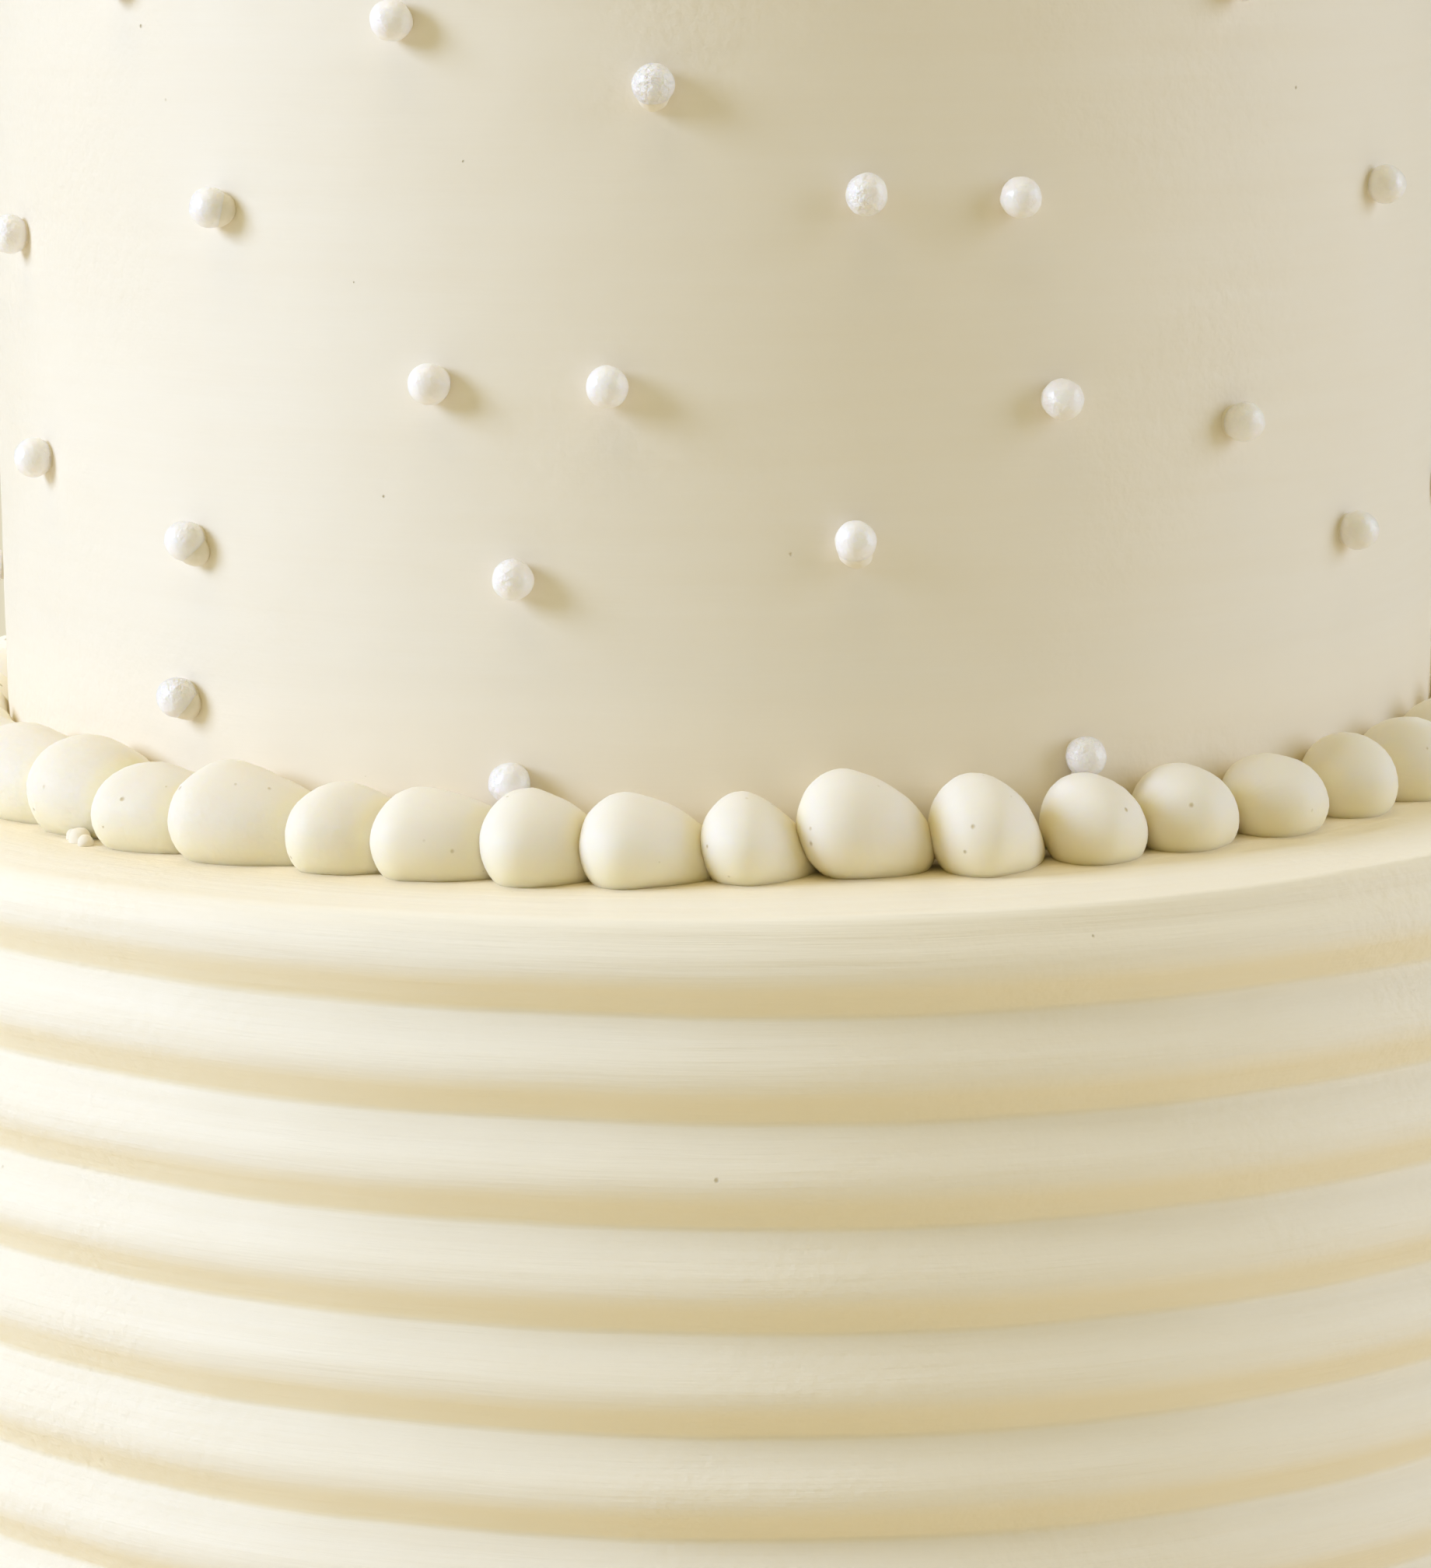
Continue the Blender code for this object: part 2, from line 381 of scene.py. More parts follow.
# What a colour is multiplied by: where the icing is thicker, at random; painted shade in the comb's
# valleys and on the ledge beside the beads; painted light on the wall just above the beads and in the
# creases between beads. The last two are lighter, standing in for light that has gone through the
# cream and comes out there.
DEEPER = (0.97, 0.945, 0.90)
VALLEY_PAINTED_SHADE = (0.965, 0.915, 0.79)
ABOVE_BEADS_PAINTED_LIGHT = (1.07, 1.035, 0.98)
CREASE_PAINTED_LIGHT = (1.09, 1.025, 0.79)
# Painted shade: the inside of a bubble pit is darkened in the colour, as well as dented.
PIT_SHADE_COLOUR = (0.62, 0.53, 0.35)
PIT_DEPTH = 0.10 * MM
ROUGH_HEIGHT = 0.20 * MM
# How deep light sinks in, and what share of that depth its red, green and blue reach.
GLOW_DEPTH = 4.0 * MM
GLOW_SHARES = (1.0, 0.85, 0.45)
SATIN = 0.2


def pits(recipe, place, cells, size):
    """1 inside a pit and 0 outside. Each cell, so many a metre, holds a bubble of its own size."""
    cell = recipe.node("ShaderNodeTexVoronoi", {"Vector": place, "Scale": cells})
    lot = recipe.node("ShaderNodeSeparateColor", {0: cell.outputs["Color"]}).outputs[0]
    edge = recipe.product(recipe.stretch(lot, 0.0, 1.0, 0.35, 1.0), size * cells)
    return recipe.stretch(cell.outputs["Distance"], edge, recipe.product(edge, 0.4), 0.0, 1.0)


def buttercream(name, colour, painted_light_and_shade, streaks, streak_strength, pit_cells, pit_size, glow, method):
    """Cream icing, with painted light and shade where the mesh's tint says. Streaks is a function
    giving where to read the streaks.
    """
    finish = bpy.data.materials.new(name)
    finish.use_nodes = True
    recipe = Recipe(finish.node_tree)
    shader = finish.node_tree.nodes["Principled BSDF"]
    place = recipe.node("ShaderNodeTexCoord").outputs["Object"]
    broad = recipe.noise(place, 22.0, 3.0)
    streak = recipe.noise(streaks(recipe), 1.0, 4.0, 0.62)
    pit = pits(recipe, place, pit_cells, pit_size)
    tint = recipe.stretch(recipe.total(broad, recipe.product(streak, 0.5)), -0.3, 0.3, 0.0, 1.0)
    cream = recipe.node("ShaderNodeMix", {"Factor": tint}, data_type="RGBA")
    recipe.feed(cream.inputs[6], (*colour, 1))
    recipe.feed(cream.inputs[7], (*(part * deep for part, deep in zip(colour, DEEPER)), 1))
    # Painted light and shade: the mesh's tint mixes in the colour that stands in for them.
    shade = recipe.node("ShaderNodeAttribute", attribute_name="tint").outputs["Fac"]
    shaded = recipe.node("ShaderNodeMix", {"Factor": shade}, data_type="RGBA")
    recipe.feed(shaded.inputs[6], cream.outputs[2])
    recipe.feed(shaded.inputs[7], (*(part * deep for part, deep in zip(colour, painted_light_and_shade)), 1))
    pit_shaded = recipe.node("ShaderNodeMix", {"Factor": pit}, data_type="RGBA")
    recipe.feed(pit_shaded.inputs[6], shaded.outputs[2])
    recipe.feed(pit_shaded.inputs[7], (*PIT_SHADE_COLOUR, 1))
    recipe.feed(shader.inputs["Base Color"], pit_shaded.outputs[2])
    recipe.feed(shader.inputs["Roughness"], recipe.stretch(streak, -0.25, 0.25, 0.42, 0.60))
    patch = recipe.stretch(broad, -0.05, 0.2, 0.0, 1.0)
    rough = recipe.product(recipe.noise(place, 850.0), patch, ROUGH_HEIGHT)
    relief = recipe.total(recipe.product(streak, streak_strength), rough,
                          recipe.product(pit, -PIT_DEPTH))
    bump = recipe.node("ShaderNodeBump", {"Height": relief, "Strength": 1.0, "Distance": 1.0})
    recipe.feed(shader.inputs["Normal"], bump.outputs[0])
    shader.subsurface_method = method
    shader.inputs["Subsurface Weight"].default_value = glow
    shader.inputs["Subsurface Radius"].default_value = GLOW_SHARES
    shader.inputs["Subsurface Scale"].default_value = GLOW_DEPTH
    shader.inputs["Specular IOR Level"].default_value = SATIN
    return finish


def wall_streaks(recipe):
    """Level streaks: the pattern changes slowly round the wall and fast up it."""
    return recipe.scaled(recipe.node("ShaderNodeTexCoord").outputs["Object"], 22, 22, 420)


def comb_streaks(recipe):
    """Streaks that follow the comb. The mesh's own map gives the way round and up the spiral."""
    chart = recipe.node("ShaderNodeUVMap", uv_map="UVMap").outputs[0]
    turn, climb, _ = recipe.node("ShaderNodeSeparateXYZ", {0: chart}).outputs
    angle = recipe.product(turn, TAU)
    return recipe.vector(recipe.product(recipe.maths("SINE", angle), 2.4),
                         recipe.product(recipe.maths("COSINE", angle), 2.4),
                         recipe.product(climb, 90.0))


def bead_streaks(recipe):
    """Faint folds that run along the bead, closer together round it than along it."""
    chart = recipe.node("ShaderNodeUVMap", uv_map="UVMap").outputs[0]
    along, around, _ = recipe.node("ShaderNodeSeparateXYZ", {0: chart}).outputs
    angle = recipe.product(around, TAU)
    return recipe.vector(recipe.product(recipe.maths("SINE", angle), 1.5),
                         recipe.product(recipe.maths("COSINE", angle), 1.5),
                         recipe.product(along, 0.9))


SMOOTH_CREAM = buttercream("smooth_buttercream", CREAM, ABOVE_BEADS_PAINTED_LIGHT, wall_streaks, 0.05 * MM,
                           115.0, 0.28 * MM, 0.08, "BURLEY")
COMBED_CREAM = buttercream("combed_buttercream", COMBED, VALLEY_PAINTED_SHADE, comb_streaks, 0.16 * MM,
                           100.0, 0.30 * MM, 0.08, "BURLEY")
PIPED_CREAM = buttercream("piped_buttercream", PALE_CREAM, CREASE_PAINTED_LIGHT, bead_streaks, 0.05 * MM,
                          330.0, 0.34 * MM, 0.5, "RANDOM_WALK")
print("three buttercream finishes")

# %% [markdown]
# ## The tiers
#
# Both tiers are made by one recipe. It starts from a flat grid: one way is the
# way round the cake, the other is the way up the wall, over the edge and across
# the top. Rolling that grid up gives a wall with a rounded edge.
#
# The comb's ridges are a spiral, because the comb moved slowly down while the cake
# turned. So each row of the grid is sheared downwards as it goes round, by as many
# rows as there are between two turns of one valley, and its end meets another
# row's start. A valley then lies exactly along a row and stays crisp. Rows that
# pass the foot or the end of the top are drawn in to the axis, which closes the
# solid. The scale of a noise is roughly how many swells it has in a metre.

# %% The recipe for an iced tier
RIDGE_SHAPE = ((0.0, 0.0), (0.04, 0.12), (0.15, 0.38), (0.30, 0.70), (0.44, 0.95), (0.54, 1.0),
               (0.64, 0.90), (0.80, 0.50), (1.0, 0.0))
# Down one ridge: how much painted shade deepens the cream's colour, most under the overhang.
RIDGE_PAINTED_SHADE = ((0.0, 0.35), (0.15, 0.15), (0.3, 0.0), (0.54, 0.0), (0.7, 0.6), (0.85, 1.0), (1.0, 1.0))
# Painted light and shade round the joint's corner: light on the wall just above the beads, shade on
# the ledge beside them. Its strength, how far it is full and where it has gone.
CORNER_PAINTED_LIGHT_AND_SHADE = 0.8
CORNER_FULL = 9.5 * MM
CORNER_ENDS = 18 * MM
SAME_SPOT = 0.001 * MM


def tier_recipe():
    """Geometry Nodes for a tier: wall, rounded edge and top, with or without a comb."""
    recipe, given = shape_recipe("iced_tier", (
        ("Radius", "size"), ("Height", "size"), ("Edge round", "size"), ("End", "size"),
        ("Columns", "count"), ("Rows", "count"), ("First row", "size"), ("Row step", "size"),
        ("Pitch", "size"), ("Lead", "size"), ("First valley", "size"), ("Comb depth", "size"),
        ("Comb painted shade", "size"), ("Joint height", "size"), ("Wander", "size"), ("Unevenness", "size"),
        ("Material", "material")))
    grid = recipe.node("GeometryNodeMeshGrid", {
        "Size X": 1.0, "Size Y": 1.0,
        "Vertices X": recipe.maths("ADD", given["Columns"], 1),
        "Vertices Y": recipe.maths("ADD", given["Rows"], 1)})
    spot = recipe.node("ShaderNodeSeparateXYZ", {0: recipe.place()})
    turn = spot.outputs[0]
    row = recipe.product(recipe.maths("ADD", spot.outputs[1], 0.5), given["Rows"])
    angle = recipe.product(turn, TAU)
    along = recipe.maths("SUBTRACT", recipe.total(given["First row"],
                                                  recipe.product(row, given["Row step"])),
                         recipe.product(turn, given["Lead"]))
    half_row = recipe.product(given["Row step"], 0.5)
    above_foot = recipe.maths("GREATER_THAN", along, half_row)
    within = recipe.product(
        recipe.maths("GREATER_THAN", along, recipe.product(half_row, -1.0)),
        recipe.maths("LESS_THAN", along, given["End"]))
    climb = recipe.product(along, above_foot)

    wall = recipe.maths("SUBTRACT", given["Height"], given["Edge round"])
    past_wall = recipe.maths("MAXIMUM", recipe.maths("SUBTRACT", climb, wall), 0.0)
    bend = recipe.maths("MINIMUM", recipe.maths("DIVIDE", past_wall, given["Edge round"]), TAU / 4)
    inward = recipe.maths("SUBTRACT", past_wall, recipe.product(bend, given["Edge round"]))
    out_share = recipe.maths("COSINE", bend)
    up_share = recipe.maths("SINE", bend)

    round_place = recipe.vector(
        recipe.product(recipe.maths("SINE", angle), given["Radius"]),
        recipe.product(recipe.maths("COSINE", angle), given["Radius"]),
        climb)
    below_valley = recipe.maths("SUBTRACT", recipe.maths("SUBTRACT", given["First valley"], along),
                                recipe.product(turn, given["Lead"]))
    # The little taken off keeps the valley's own row on the side of the ridge above.
    down_ridge = recipe.maths("FRACT", recipe.maths(
        "SUBTRACT", recipe.maths("DIVIDE", below_valley, given["Pitch"]), 0.004))
    ridge = recipe.curve(down_ridge, RIDGE_SHAPE)
    fade = recipe.stretch(past_wall, 0.0, recipe.product(given["Edge round"], 1.2), 1.0, 0.0)
    comb = recipe.product(given["Comb depth"], recipe.maths("SUBTRACT", 1.0, ridge), fade,
                          recipe.total(1.0, recipe.noise(round_place, 28.0)))
    lumps = recipe.product(recipe.total(recipe.noise(round_place, 20.0, 3.0),
                                        recipe.product(recipe.noise(round_place, 90.0), 0.35)),
                           given["Unevenness"])
    drag_place = recipe.scaled(round_place, 1, 1, 26)
    drag = recipe.product(recipe.noise(drag_place, 14.0), given["Unevenness"], 0.35)
    depth = recipe.total(comb, lumps, drag)
    wander = recipe.product(recipe.noise(round_place, 35.0), given["Wander"], fade, above_foot)

    reach = recipe.product(within, recipe.maths(
        "SUBTRACT",
        recipe.maths("SUBTRACT", given["Radius"], inward),
        recipe.total(recipe.product(given["Edge round"], recipe.maths("SUBTRACT", 1.0, out_share)),
                     recipe.product(depth, out_share))))
    height = recipe.total(
        recipe.maths("MINIMUM", climb, wall),
        recipe.product(given["Edge round"], up_share),
        recipe.product(depth, up_share, within, -1.0),
        wander)
    rolled = recipe.wrapped(angle, reach, height)
    from_wall = recipe.maths("SUBTRACT", reach, UPPER_RADIUS)
    from_joint = recipe.maths("SUBTRACT", height, given["Joint height"])
    joint_distance = recipe.maths("SQRT", recipe.total(
        recipe.product(from_wall, from_wall), recipe.product(from_joint, from_joint)))
    up_spiral = recipe.total(along, recipe.product(turn, given["Lead"]))
    chart = recipe.node("GeometryNodeStoreNamedAttribute", {
        "Geometry": grid.outputs[0], "Name": "UVMap",
        "Value": recipe.vector(turn, recipe.product(up_spiral, 10.0), 0.0)},
        data_type="FLOAT2", domain="CORNER")
    # Painted shade down each ridge of the comb, stored as the tint that the finish reads.
    painted_light_and_shade = recipe.node("GeometryNodeStoreNamedAttribute", {
        "Geometry": chart.outputs[0], "Name": "tint",
        "Value": recipe.maths("MAXIMUM",
                              recipe.product(recipe.curve(down_ridge, RIDGE_PAINTED_SHADE), fade,
                                             given["Comb painted shade"]),
                              # Painted light and shade round the joint's corner, fading with the
                              # distance from it.
                              recipe.stretch(joint_distance, CORNER_FULL, CORNER_ENDS,
                                             CORNER_PAINTED_LIGHT_AND_SHADE, 0.0))},
        data_type="FLOAT", domain="POINT")
    moved = recipe.node("GeometryNodeSetPosition", {"Geometry": painted_light_and_shade.outputs[0],
                                                    "Position": rolled})
    joined = recipe.node("GeometryNodeMergeByDistance", {"Geometry": moved.outputs[0],
                                                         "Distance": SAME_SPOT})
    serve(recipe, joined.outputs[0], given["Material"])
    return recipe


TIER = tier_recipe()
print(f"tier recipe: {len(TIER.tree.nodes)} nodes")

# %% [markdown]
# ### The combed lower tier
#
# One turn of the cake drops the valley by one pitch, so the ridges are a single
# long spiral. Each ridge slopes out evenly from its sharp valley, is rounded at
# the crest, and tucks back under to the next valley.

# %% The lower tier
COMB_PITCH = 10.0 * MM
FIRST_VALLEY = JOINT - 9.2 * MM
COMB_DEPTH = 2.2 * MM
ROWS_A_PITCH = 24
COMBED_COLUMNS = 288
LEDGE_ENDS = 70 * MM
EDGE_ROUND = 2.6 * MM


def path_to(radius, height, edge_round, inner):
    """Length of the path up a wall, round its edge and in over the top to an inner radius."""
    return (height - edge_round) + edge_round * TAU / 4 + (radius - edge_round - inner)


def make_lower_tier():
    """The wide tier. Its rows start below the foot, on a row that a valley can follow."""
    step = COMB_PITCH / ROWS_A_PITCH
    end = path_to(LOWER_RADIUS, JOINT, EDGE_ROUND, LEDGE_ENDS)
    first = FIRST_VALLEY - step * math.ceil((FIRST_VALLEY + step + COMB_PITCH / 2) / step)
    rows = math.ceil((end - first + COMB_PITCH / 2) / step) + 1
    return run_recipe("lower_tier_icing", TIER, bpy.data.meshes.new("start"), {
        "Radius": LOWER_RADIUS, "Height": JOINT, "Edge round": EDGE_ROUND, "End": end,
        "Columns": COMBED_COLUMNS, "Rows": rows, "First row": first, "Row step": step,
        "Pitch": COMB_PITCH, "Lead": COMB_PITCH, "First valley": FIRST_VALLEY,
        "Comb depth": COMB_DEPTH, "Comb painted shade": 1.0, "Joint height": JOINT, "Wander": 0.6 * MM,
        "Unevenness": 0.6 * MM, "Material": COMBED_CREAM})


keep(make_lower_tier(), "lower_tier")

# %% [markdown]
# ### The smooth upper tier
#
# The same recipe with no comb: the depth and the lead are nothing, so the rows
# stay level. The top's edge is rounder, as a scraper leaves it.

# %% The upper tier
TOP_ROUND = 5.0 * MM
WALL_STEP = 1.1 * MM
WALL_COLUMNS = 320


def make_upper_tier():
    """The narrow tier, raised on to the lower one."""
    end = path_to(UPPER_RADIUS, UPPER_HEIGHT, TOP_ROUND, 2 * MM)
    piece = run_recipe("upper_tier_icing", TIER, bpy.data.meshes.new("start"), {
        "Radius": UPPER_RADIUS, "Height": UPPER_HEIGHT, "Edge round": TOP_ROUND, "End": end,
        "Columns": WALL_COLUMNS, "Rows": math.ceil(end / WALL_STEP) + 3, "First row": -2 * WALL_STEP,
        "Row step": WALL_STEP, "Pitch": COMB_PITCH, "Lead": 0.0, "First valley": 0.0,
        "Comb depth": 0.0, "Comb painted shade": 0.0, "Joint height": 0.0, "Wander": 0.0,
        "Unevenness": 0.45 * MM, "Material": SMOOTH_CREAM})
    piece.data.transform(Matrix.Translation((0, 0, JOINT)))
    return piece


keep(make_upper_tier(), "upper_tier")

# %% [markdown]
# ## Piped beads
#
# Each bead is squeezed out as a round head and then drawn to the right, so its
# tail tapers down into the corner, under the next bead's head. The recipe starts
# from a row of points, one for each bead, that carry the bead's own sizes. A flat
# grid is put on each point and then rolled into that bead: one way of the grid
# is the way along the bead, the other the way round it.

# %% The recipe for a row of beads
TAPER_POWER = 1.6
PRESSED = 1.6 * MM
# How far the painted light in the creases reaches from a bead's ends, as a share of its length, and up
# from its foot.
END_PAINTED_LIGHT = 0.10
FOOT_PAINTED_LIGHT = 4.5 * MM


def bead_size(recipe, own, along):
    """How thick the bead is along its length, and how much of that the taper leaves."""
    before = recipe.maths("DIVIDE", recipe.maths("SUBTRACT", own["head"], along), own["head"])
    head = recipe.maths("SQRT", recipe.maths(
        "SUBTRACT", 1.0, recipe.maths("POWER", recipe.maths("MAXIMUM", before, 0.0), 2.0)))
    past = recipe.maths("DIVIDE", recipe.maths("SUBTRACT", along, own["head"]),
                        recipe.maths("SUBTRACT", 1.0, own["head"]))
    past = recipe.maths("MAXIMUM", past, 0.0)
    left = recipe.maths("SUBTRACT", 1.0, recipe.product(
        own["taper"], recipe.maths("POWER", past, TAPER_POWER)))
    end = recipe.maths("SQRT", recipe.maths("MAXIMUM", recipe.maths(
        "SUBTRACT", 1.0, recipe.maths("POWER", past, 5.0)), 0.0))
    return recipe.product(head, left, end), left


def bead_recipe():
    """Geometry Nodes for a row of piped beads round a wall."""
    recipe, given = shape_recipe("piped_beads", (
        ("Wall", "size"), ("Base", "size"), ("Floor", "size"), ("Along", "count"), ("Around", "count"),
        ("Unevenness", "size"), ("Material", "material")))
    grid = recipe.node("GeometryNodeMeshGrid", {
        "Size X": 1.0, "Size Y": 1.0,
        "Vertices X": recipe.maths("ADD", given["Along"], 1),
        "Vertices Y": recipe.maths("ADD", given["Around"], 1)})
    copies = recipe.node("GeometryNodeInstanceOnPoints", {"Points": given["Geometry"],
                                                          "Instance": grid.outputs[0]})
    real = recipe.node("GeometryNodeRealizeInstances", {"Geometry": copies.outputs[0]})
    own = {label: recipe.node("GeometryNodeInputNamedAttribute", {"Name": label},
                              data_type="FLOAT").outputs[0] for label in BEAD_SIZES}

    spot = recipe.node("ShaderNodeSeparateXYZ", {0: recipe.place()})
    even = recipe.maths("ADD", spot.outputs[0], 0.5)
    along = recipe.maths("SUBTRACT", 0.5, recipe.product(
        recipe.maths("COSINE", recipe.product(even, TAU / 2)), 0.5))
    around = recipe.product(spot.outputs[1], TAU)
    thick, left = bead_size(recipe, own, along)

    out = recipe.product(own["depth"], 0.5, recipe.total(
        left, recipe.product(thick, recipe.maths("COSINE", around))))
    up = recipe.product(own["height"], 0.5, recipe.total(
        left, recipe.product(thick, recipe.maths("SINE", around))))
    angle = recipe.total(own["start"], recipe.product(own["span"], along))
    head_up = recipe.product(own["lift"], 1.6, recipe.maths("SUBTRACT", 1.0, along))
    rolled = recipe.wrapped(angle, recipe.total(given["Wall"], out),
                            recipe.total(given["Base"], up, head_up))
    chart = recipe.node("GeometryNodeStoreNamedAttribute", {
        "Geometry": real.outputs[0], "Name": "UVMap",
        "Value": recipe.vector(recipe.total(along, recipe.product(own["start"], 8.0)),
                               spot.outputs[1], 0.0)},
        data_type="FLOAT2", domain="CORNER")
    # Painted light: where a bead meets the next one, the ledge or the wall, its colour is made warmer
    # and lighter.
    to_next = recipe.maths("SUBTRACT", own["meets"], along)
    near_end = recipe.stretch(recipe.maths("MINIMUM", recipe.product(along, 1.3), to_next),
                              END_PAINTED_LIGHT, 0.0, 0.0, 0.8)
    near_foot = recipe.stretch(recipe.total(up, head_up), PRESSED + FOOT_PAINTED_LIGHT, PRESSED, 0.0, 1.0)
    near_wall = recipe.stretch(recipe.maths("COSINE", around), -0.4, -0.95, 0.0, 0.7)
    painted_light_and_shade = recipe.node("GeometryNodeStoreNamedAttribute", {
        "Geometry": chart.outputs[0], "Name": "tint",
        "Value": recipe.maths("MAXIMUM", near_end, recipe.maths("MAXIMUM", near_foot, near_wall))},
        data_type="FLOAT", domain="POINT")
    moved = recipe.node("GeometryNodeSetPosition", {"Geometry": painted_light_and_shade.outputs[0], "Position": rolled})
    joined = recipe.node("GeometryNodeMergeByDistance", {"Geometry": moved.outputs[0],
                                                         "Distance": SAME_SPOT})
    swell = recipe.product(recipe.total(
        recipe.noise(recipe.place(), 110.0),
        recipe.product(recipe.noise(recipe.place(), 380.0), 0.28)), given["Unevenness"])
    swollen = recipe.pushed(joined.outputs[0], swell)
    x, y, z = recipe.node("ShaderNodeSeparateXYZ", {0: recipe.place()}).outputs
    on_floor = recipe.vector(x, y, recipe.maths("MAXIMUM", z, given["Floor"]))
    standing = recipe.node("GeometryNodeSetPosition", {"Geometry": swollen, "Position": on_floor})
    serve(recipe, standing.outputs[0], given["Material"])
    return recipe


BEAD_SIZES = ("start", "span", "height", "depth", "head", "taper", "lift", "meets")
BEADS = bead_recipe()
print(f"bead recipe: {len(BEADS.tree.nodes)} nodes")

# %% [markdown]
# The beads at the front were measured one by one, because they are the ones that
# the eye goes to. Each line says where a bead starts, in degrees to the right of
# the front, how tall it is and how far it stands out from the wall, how far it
# reaches as a share of the way to the next bead, how much of its size is left
# where that bead starts, and how far its head is lifted. A reach near 1 is a blunt
# bead, and a long one runs on under its neighbour. Uneven beads fill the rest of
# the row. Every bead is sunk a little into the wall and pressed into what it lies
# on, because soft icing settles. Where a bead meets another, the wall or the ledge,
# warm light is painted into the cream's colour.

# %% Sizes of the beads
# start in degrees, height, depth out in millimetres, reach, size left, lift in millimetres
FRONT_BEADS = (
    (-61.5, 9.0, 12.0, 1.25, 0.85, 0.0),
    (-52.6, 9.5, 12.0, 1.25, 0.85, 0.0),
    (-44.9, 8.0, 12.5, 1.30, 0.86, 0.0),
    (-37.9, 9.1, 12.8, 1.40, 0.74, 0.0),
    (-29.0, 8.0, 12.2, 1.35, 0.84, 0.0),
    (-22.9, 8.2, 12.5, 1.35, 0.80, 0.0),
    (-15.4, 8.4, 12.8, 1.30, 0.76, 0.0),
    (-9.1, 8.3, 12.6, 1.35, 0.70, 0.0),
    (-1.5, 8.3, 11.3, 1.70, 0.66, 0.0),
    (4.9, 9.1, 10.5, 1.10, 0.70, 0.8),
    (13.7, 9.2, 12.0, 1.10, 0.52, 0.0),
    (21.9, 8.2, 11.0, 1.06, 0.66, 0.0),
    (29.3, 8.3, 10.4, 1.05, 0.62, 0.0),
    (37.5, 7.8, 10.2, 1.04, 0.60, 0.0),
    (46.3, 8.2, 10.0, 1.04, 0.60, 0.0),
    (54.2, 8.2, 10.2, 1.00, 0.80, 0.0),
)
FRONT_ENDS = 62.2
BEAD_LENGTH = 11.3 * MM
BEAD_DEPTH = 11.6 * MM
BEAD_UNEVENNESS = 0.8 * MM
SUNK = 0.35 * MM
# The length of a bead's round head, as a share of how tall the bead is.
HEAD_SHARE = 0.44


def bead(radius, start, gap, height, depth, reach, left, lift=0.0, sunk=SUNK):
    """A bead's own sizes, in the order of BEAD_SIZES. The gap is to the next one's start."""
    length = gap * reach * (radius + depth / 2)
    head = HEAD_SHARE * (height + PRESSED) / length
    met = (1 / reach - head) / (1 - head)
    return (start, gap * reach, height + PRESSED, depth + sunk, head,
            (1 - left) / met ** TAPER_POWER, lift, 1 / reach)


def uneven_beads(draw, radius, start, end, sunk=SUNK):
    """Beads of uneven sizes that fill the arc."""
    usual = BEAD_LENGTH / (radius + BEAD_DEPTH / 2)
    shares = [draw.uniform(0.85, 1.15) for _ in range(round((end - start) / usual))]
    place = start
    beads = []
    for share in shares:
        gap = (end - start) * share / sum(shares)
        height = draw.uniform(7.9, 8.8) * MM
        depth = draw.uniform(11.0, 12.4) * MM
        reach = draw.uniform(1.15, 1.4)
        left = draw.uniform(0.70, 0.86)
        beads.append(bead(radius, place, gap, height, depth, reach, left, sunk=sunk))
        place += gap
    return beads


def bead_points(beads):
    """A mesh with one point for each bead, which carries that bead's sizes."""
    points = bpy.data.meshes.new("bead_points")
    points.from_pydata([(0, 0, 0)] * len(beads), [], [])
    for label, values in zip(BEAD_SIZES, zip(*beads)):
        store = points.attributes.new(label, "FLOAT", "POINT")
        store.data.foreach_set("value", values)
    return points


print(f"{len(FRONT_BEADS)} beads measured at the front")

# %% [markdown]
# ### The border between the tiers
#
# The measured beads come first, and uneven ones carry the row on round the back
# until it meets them again. Every random draw has a fixed seed, so the cake comes
# out the same each time. The ring lies in the corner where the wall meets the
# ledge, and hides it.

# %% The border between the tiers
def make_tier_border():
    """The ring of beads over the joint."""
    starts = [math.radians(row[0]) for row in FRONT_BEADS] + [math.radians(FRONT_ENDS)]
    beads = [bead(UPPER_RADIUS, start, end - start, height * MM, depth * MM, reach, left, lift * MM)
             for (_, height, depth, reach, left, lift), start, end
             in zip(FRONT_BEADS, starts, starts[1:])]
    beads += uneven_beads(random.Random(3), UPPER_RADIUS, starts[-1], starts[0] + TAU)
    return run_recipe("tier_border_beads", BEADS, bead_points(beads), {
        "Wall": UPPER_RADIUS - SUNK, "Base": JOINT - PRESSED, "Floor": JOINT - PRESSED,
        "Along": 32, "Around": 30,
        "Unevenness": BEAD_UNEVENNESS, "Material": PIPED_CREAM})


keep(make_tier_border(), "tier_bead_border")

# %% [markdown]
# ### The border at the foot
#
# It is made the same way, round the wider wall, and sunk far enough to fill the
# comb's valleys behind it.

# %% The border at the foot
def make_base_border():
    """The ring of beads round the foot."""
    sunk = SUNK + COMB_DEPTH
    beads = uneven_beads(random.Random(5), LOWER_RADIUS, 0.0, TAU, sunk)
    return run_recipe("base_border_beads", BEADS, bead_points(beads), {
        "Wall": LOWER_RADIUS - sunk, "Base": -PRESSED, "Floor": 0.0, "Along": 24, "Around": 24,
        "Unevenness": BEAD_UNEVENNESS, "Material": PIPED_CREAM})


keep(make_base_border(), "base_bead_border")

# %% [markdown]
# ## Sugar pearls
#
# The pearls are sugar balls with a pearly coat. Sheen and a thin clear coat give
# them the pale bloom that they have round the rim. They aren't perfect: most are a
# little lumpy and cloudy, and where the coat dried unevenly it is crinkled.

# %% The pearl finish
PEARL_CLOUDY = (0.945, 0.885, 0.86)
PEARL_CLEAR = (0.985, 0.935, 0.925)
CRINKLE_HEIGHT = 0.12 * MM
CRINKLE_MORE = 0.6 * MM


